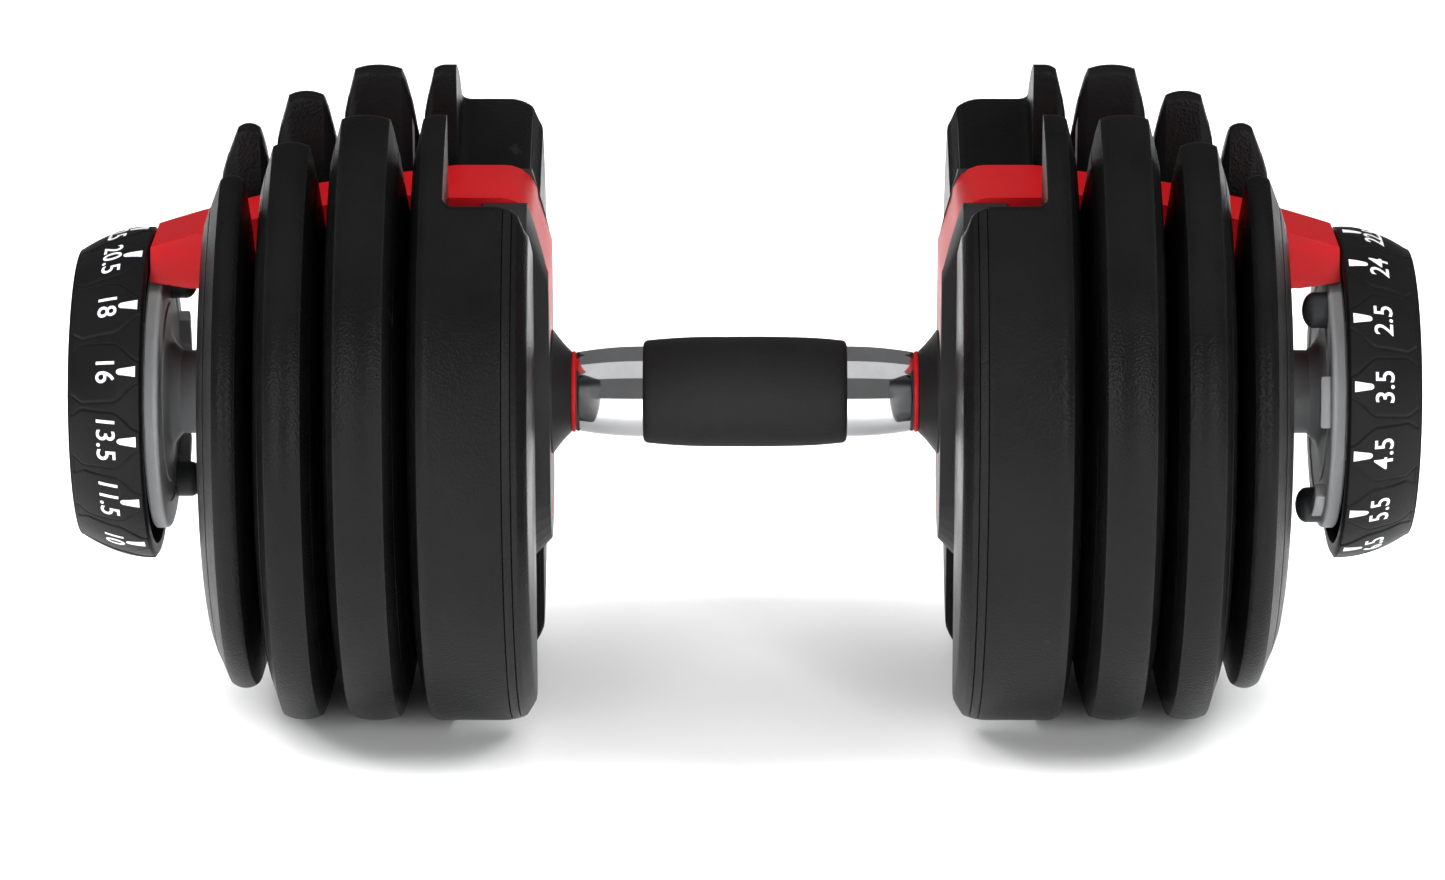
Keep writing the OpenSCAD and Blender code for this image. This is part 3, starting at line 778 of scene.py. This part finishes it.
def hub_part():
    """The grey hub with its pads."""
    profile = [(HUB_INNER_X, HUB_BORE), (HUB_INNER_X, 12.7), (171.6, 13.2), (173.6, 15.3), (174.3, 17.2),
               (174.6, 20.5), (DISC_X0, 23.6), (DISC_X0, 27.0), (DISC_X0 + 0.35, 27.4),
               (DISC_X0 + 0.35, 33.0), (DISC_X0, 33.4), (DISC_X0, HUB_R - 1.4), (DISC_X0 + 0.25, HUB_R - 0.6),
               (DISC_X0 + 0.8, HUB_R - 0.12), (DISC_X0 + 1.5, HUB_R), (DISC_X1 - 0.6, HUB_R),
               (DISC_X1, HUB_R - 0.6), (DISC_X1, 22.4), (DISC_X1 + 1.2, 21.0), (HUB_X1 - 0.5, 21.0),
               (HUB_X1, 20.5), (HUB_X1, 16.6), (HUB_X1 - 0.4, HUB_SLEEVE), (HUB_FLOOR_X, HUB_SLEEVE),
               (HUB_FLOOR_X, HUB_BORE)]
    parts = [lathe(profile, 192)]
    arc = np.radians(np.linspace(-PAD_HALF_TURN, PAD_HALF_TURN, 25))
    outer = [(PAD_R[1] * math.cos(t), PAD_R[1] * math.sin(t)) for t in arc]
    inner = [(PAD_R[0] * math.cos(t), PAD_R[0] * math.sin(t)) for t in arc[::-1]]
    corners = (0, len(outer) - 1, len(outer), 2 * len(outer) - 1)
    cuts = [PAD_CORNER if i in corners else 0 for i in range(2 * len(outer))]
    outline = rounded(outer + inner, cuts, 3, closed=True)
    middle = outline.mean(0)
    loops = []
    for x, part in PAD_SECTIONS:
        ring = middle + (outline - middle) * [1 - (1 - part) * 2.4, part]
        loops.append(np.column_stack([np.full(len(ring), x), -ring[:, 0], -ring[:, 1]]))
    parts += [turned_by(loft(loops), turn) for turn in PAD_TURNS]
    return joined(parts)


def stud_part():
    """Dark domed studs on the hub disc."""
    quarter = np.linspace(0, math.pi / 2, 9)
    nose = [(STUD_X + STUD_DOME * (1 - math.cos(t)), STUD_R * math.sin(t)) for t in quarter]
    stud = lathe(nose + [(STUD_ROOT_X, STUD_R), (STUD_ROOT_X, 0)], 48)
    return joined([turned_by(moved(stud, dy=-STUD_RADIUS), turn) for turn in STUD_TURNS])


# Outer cap: a dished face with a central boss and raised ribs
CAP_BEHIND_RING = 0.9
CAP_SEAT_BEHIND_RING = 4.3
CAP_R = 42.95
CAP_DISH = 1.4
CAP_RIBS = 6
# Outline of a rib (y, z), and its sections: (distance behind the face, how far the outline is drawn in)
RIB = ((-1.5, 16.6), (1.5, 16.6), (1.9, 32.4), (-1.9, 32.4))
RIB_CORNER = 1.2
RIB_SECTIONS = ((1.6, 0), (0.7, 0), (0.45, 0.12), (0.4, 0.45))


def cap_part():
    """The dial's outer cap with its ribs."""
    face = RING_X1 - CAP_BEHIND_RING
    seat = RING_X1 - CAP_SEAT_BEHIND_RING
    dish = face - CAP_DISH
    profile = [(seat, 0), (seat, CAP_R), (face - 0.7, CAP_R), (face - 0.25, 42.7), (face, 42.2), (face, 38.4),
               (face - 0.2, 38.0), (face - 1.1, 36.0), (dish, 35.0), (dish, 14.6), (face - 1.2, 14.0),
               (face - 0.3, 13.1), (face, 12.4), (face, 0)]
    parts = [lathe(profile, 192)]
    outline = rounded(np.array(RIB), [RIB_CORNER] * 4, 4, closed=True)
    middle = outline.mean(0)
    loops = []
    for behind, drawn_in in RIB_SECTIONS:
        ring = outline - np.sign(outline - middle) * drawn_in
        loops.append(np.column_stack([np.full(len(ring), face - behind), ring]))
    parts += [turned_by(loft(loops), 360 / CAP_RIBS * n) for n in range(CAP_RIBS)]
    return joined(parts)


def build_dials():
    hub, studs, cap = hub_part(), stud_part(), cap_part()
    for side, offset in DIAL_TURN.items():
        body = f"selector_{side}"
        ring = dial_ring(offset)
        piece(f"dial_ring_{side}_moulding", ring, side, body, DIAL, [f"dial_ring_{side}"],
              crease=50)
        piece(f"dial_numbers_{side}", dial_marks(offset), side, body, PRINT, crease=40)
        piece(f"dial_hub_{side}_moulding", hub, side, body, GREY, [f"dial_hub_{side}"])
        piece(f"dial_studs_{side}", studs, side, body, DARK_GREY)
        piece(f"dial_cap_{side}_moulding", cap, side, body, DIAL, [f"dial_cap_{side}"])


# ---------------------------------------------------------------- top arm and bracket

_, ARM_TOP = heights("top_arm_right")
ARM_BASE = 38.0
ARM_HALF = span("top_arm_right")[2]
ARM_TOP_HALF = 14.5
ARM_END_H = 49.5
ARM_FLAT = (73.0, 88.0)


def arm_top(x):
    nose = 10.0
    if x < ARM_FLAT[0] - nose:
        return ARM_BASE + 5 + (x - FACE_X) * (ARM_TOP - nose - ARM_BASE - 5) / (ARM_FLAT[0] - nose - FACE_X)
    if x < ARM_FLAT[0]:
        return ARM_TOP - nose + math.sqrt(max(0.0, nose ** 2 - (ARM_FLAT[0] - x) ** 2))
    if x < ARM_FLAT[1]:
        return ARM_TOP
    return ARM_TOP - (ARM_TOP - ARM_END_H) * ((x - ARM_FLAT[1]) / (ARM_END - ARM_FLAT[1])) ** 1.75


def arm_part():
    xs = [FACE_X, 61.0, 63.0, 63.4, 64.4, 66.2, 68.4, 70.8, 73.0, 78.0, 88.0, 93.0, 98.0]
    xs += list(np.linspace(104.0, ARM_END, 13))
    loops = []
    for x in xs:
        top = arm_top(x)
        lean = float(smoothstep((x - 88.0) / 12.0))
        shoulder_z = min(ARM_BASE + 3.0, top - 1.2)
        top_half = ARM_HALF - (ARM_HALF - ARM_TOP_HALF) * lean
        bend_z = min(ARM_END_H, top - 0.6)
        base = ARM_BASE + max(0.0, (x - (ARM_END - 12)) / 12) * 2
        half = [(ARM_HALF, base), (ARM_HALF, shoulder_z), (top_half, bend_z), (top_half - 0.6 * lean, top)]
        outline = half + [(-y, z) for y, z in half[::-1]]
        loops.append([(x, y, z) for y, z in outline])
    arm = loft(loops)
    shield = prism([(-ARM_HALF, ARM_BASE + 0.5), (-ARM_HALF, ARM_BASE), (-3.0, 12.0), (3.0, 12.0),
                    (ARM_HALF, ARM_BASE), (ARM_HALF, ARM_BASE + 0.5)], FACE_X, FACE_X + 1.6)
    return union([arm, shield])


def inlay_part():
    parts = []
    for z in (-36.0, -20.0):
        outline = rounded([(-8, z - 3), (8, z - 3), (8, z + 3), (-8, z + 3)], [3.4] * 4, 8, closed=True)
        middle = outline.mean(0)
        loops = []
        for x, shrink in ((FACE_X + 1, 0), (FACE_X + 0.35, 0), (FACE_X + 0.1, 0.15), (FACE_X, 0.4)):
            ring = outline - np.sign(outline - middle) * shrink
            loops.append(np.column_stack([np.full(len(ring), x), ring]))
        parts.append(loft(loops))
    return joined(parts)


def build_brackets():
    arm, inlays = arm_part(), inlay_part()
    for side in SIDES:
        piece(f"top_arm_{side}_moulding", arm, side, "handle", RED, [f"top_arm_{side}"],
              bevel=0.6)
        piece(f"face_badges_{side}", inlays, side, "handle", RED, [f"face_inlays_{side}"])


# ---------------------------------------------------------------- handle

def build_handle():
    ring_x0, ring_x1, _ = span("collar_ring_right")
    cone_x0, cone_x1, cone_r = span("collar_cone_right")
    _, grip_x1, grip_r = span("grip_sleeve")
    tube_r, end_r, seat, bore = 13.9, 12.1, 13.4, 8.0
    spigot = 11.0

    def barrel(x):
        return tube_r - (tube_r - end_r) * ((x - grip_x1) / (ring_x0 - grip_x1)) ** 2

    out = np.linspace(grip_x1, ring_x0 - 0.5, 24)
    right = [(grip_x1, seat)] + [(x, barrel(x)) for x in out] + [(ring_x0, end_r - 0.35), (ring_x0, spigot),
                                                                (FACE_X, spigot)]
    profile = [(-FACE_X, bore)] + [(-x, r) for x, r in right[::-1]] + right + [(FACE_X, bore)]
    piece("chrome_tube", lathe(profile, 192), "right", "handle", CHROME, ["handle_tube"])

    xs = np.linspace(-1, 1, 41)
    half = grip_x1
    sleeve = [(-half, seat), (-half, grip_r - 2.6), (-half + 0.15, grip_r - 2.0),
              (-half + 0.55, grip_r - 1.55)]
    sleeve += [(t * (half - 1.1), grip_r - 1.3 * abs(t * (half - 1.1) / half) ** 3) for t in xs]
    sleeve += [(half - 0.55, grip_r - 1.55), (half - 0.15, grip_r - 2.0), (half, grip_r - 2.6), (half, seat)]

    def grain(x, r, turn):
        if r < seat + 0.2:
            return np.zeros(len(turn))
        return 0.035 * np.sin(turn * 3 + x * 0.21) * np.cos(turn * 5 - x * 0.13)

    piece("grip_foam_sleeve", lathe(sleeve, 160, grain), "right", "handle", RUBBER,
          ["grip_sleeve"])

    lip_r = end_r + 0.25
    ring = [(ring_x0, spigot), (ring_x0, lip_r - 0.25), (ring_x0 + 0.12, lip_r - 0.07),
            (ring_x0 + 0.3, lip_r), (ring_x1 - 0.3, lip_r), (ring_x1 - 0.12, lip_r - 0.07),
            (ring_x1, lip_r - 0.25), (ring_x1, spigot)]
    flare = cone_x1 - cone_x0 - 0.6
    cone = [(cone_x0, spigot), (cone_x0, lip_r - 0.2), (cone_x0 + 0.15, lip_r)]
    for k in range(1, 15):
        t = k / 14
        cone.append((cone_x0 + flare * t, lip_r + 0.1 + (cone_r - lip_r - 0.1) * t ** 1.2))
    cone += [(cone_x1, cone_r), (cone_x1, spigot)]
    for side in SIDES:
        piece(f"red_ring_{side}", lathe(ring, 128), side, "handle", RED,
              [f"collar_ring_{side}"])
        piece(f"collar_{side}", lathe(cone, 128), side, "handle", BLACK,
              [f"collar_cone_{side}"])


# ---------------------------------------------------------------- carried-over CAD nodes

def finish_cad_nodes():
    by_name = {
        "core_bar": STEEL, "bracket_housing": BLACK, "bracket_plate": STEEL, "bracket_screws": SCREWS,
        "arm_screws": SCREWS, "detent_ball": CHROME, "detent_spring": SCREWS, "spindle_tube": SHAFT,
        "selector_disc": DARK_GREY, "thrust_washer": STEEL, "end_bolt": SCREWS, "plate_core": CORE,
    }
    for name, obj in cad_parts.items():
        for start, material in by_name.items():
            if name.startswith(start):
                obj.data.materials.clear()
                obj.data.materials.append(material)
        if name.startswith("bracket_housing"):
            soften(obj, 0.5, angle=40)


# ---------------------------------------------------------------- stage, light and camera

# Studio, in metres: the floor's side and grid lines, the world's light, and the camera
FLOOR_SIZE, FLOOR_LINES = 14.0, 28
AMBIENT = 0.16
CAMERA_DISTANCE = 1.77
CAMERA_ELEVATION = 17
LENS = 144.65
SHIFT_X, SHIFT_Y = -0.01557, -0.03356


def stage():
    """A wide, flat, pale floor."""
    m = Nodes("studio_floor")
    clouds = m.noise(3, 3, 0.5)
    colour = m.mix(m.remap(clouds, 0.3, 0.7, 0, 1), (0.86, 0.86, 0.865), (0.9, 0.9, 0.9))
    m.bump([(m.noise(500, 2, 0.5), 0.0002, 0.05)])
    material = m.finish(colour, m.remap(clouds, 0.3, 0.7, 0.75, 0.85))
    steps = FLOOR_LINES
    line = np.linspace(-FLOOR_SIZE / 2, FLOOR_SIZE / 2, steps)
    verts = [(x, y, 0.0) for y in line for x in line]
    faces = [(j * steps + i, j * steps + i + 1, (j + 1) * steps + i + 1, (j + 1) * steps + i)
             for j in range(steps - 1) for i in range(steps - 1)]
    mesh = bpy.data.meshes.new("floor")
    mesh.from_pydata(verts, [], faces)
    mesh.materials.append(material)
    floor = bpy.data.objects.new("floor", mesh)
    bpy.context.scene.collection.objects.link(floor)
    return floor


def area_light(name, place, target, size, power, only=None, mirrored=True):
    """A rectangle of light. With only, it lights that object; without mirrored, gloss doesn't show it."""
    light = bpy.data.lights.new(name, "AREA")
    light.shape = "RECTANGLE"
    light.size, light.size_y = size
    light.energy = power
    obj = bpy.data.objects.new(name, light)
    obj.location = place
    obj.rotation_euler = (Vector(target) - Vector(place)).to_track_quat("-Z", "Y").to_euler()
    obj.visible_glossy = mirrored
    bpy.context.scene.collection.objects.link(obj)
    if only:
        lit = bpy.data.collections.new(name + "_lights")
        lit.objects.link(only)
        obj.light_linking.receiver_collection = lit


def light_and_camera(floor):
    centre = (0, 0, AXIS * MM)
    for side, sign in SIDES.items():
        area_light(f"{side}_softbox", (1.6 * sign, -0.3, 1.5), centre, (1.1, 1.1), 34, mirrored=False)
        area_light(f"{side}_strip", (0.85 * sign, -2.0, 0.6), centre, (0.22, 1.3), 15)
    area_light("front_fill", (0, -2.6, 1.2), centre, (2.4, 1.0), 7, mirrored=False)
    area_light("top_fill", (0, -0.5, 2.0), centre, (2.6, 1.8), 9)
    area_light("floor_wash", (0, 0.4, 2.4), (0, 0.4, 0), (4.4, 4.4), 112, only=floor)

    world = bpy.data.worlds.new("studio")
    world.use_nodes = True
    world.node_tree.nodes["Background"].inputs["Color"].default_value = (1, 1, 1, 1)
    world.node_tree.nodes["Background"].inputs["Strength"].default_value = AMBIENT
    bpy.context.scene.world = world

    elevation = math.radians(CAMERA_ELEVATION)
    towards = Vector((0, -math.cos(elevation), math.sin(elevation)))
    data = bpy.data.cameras.new("camera")
    data.sensor_width = 36
    data.lens = LENS
    data.shift_x, data.shift_y = SHIFT_X, SHIFT_Y
    data.clip_start, data.clip_end = 0.05, 50
    camera = bpy.data.objects.new("camera", data)
    camera.location = Vector(centre) + CAMERA_DISTANCE * towards
    camera.rotation_euler = (Vector(centre) - camera.location).to_track_quat("-Z", "Y").to_euler()
    bpy.context.scene.collection.objects.link(camera)
    bpy.context.scene.camera = camera
    bpy.context.scene.view_settings.view_transform = "Standard"


build_plates()
build_dials()
build_brackets()
build_handle()
finish_cad_nodes()
light_and_camera(stage())
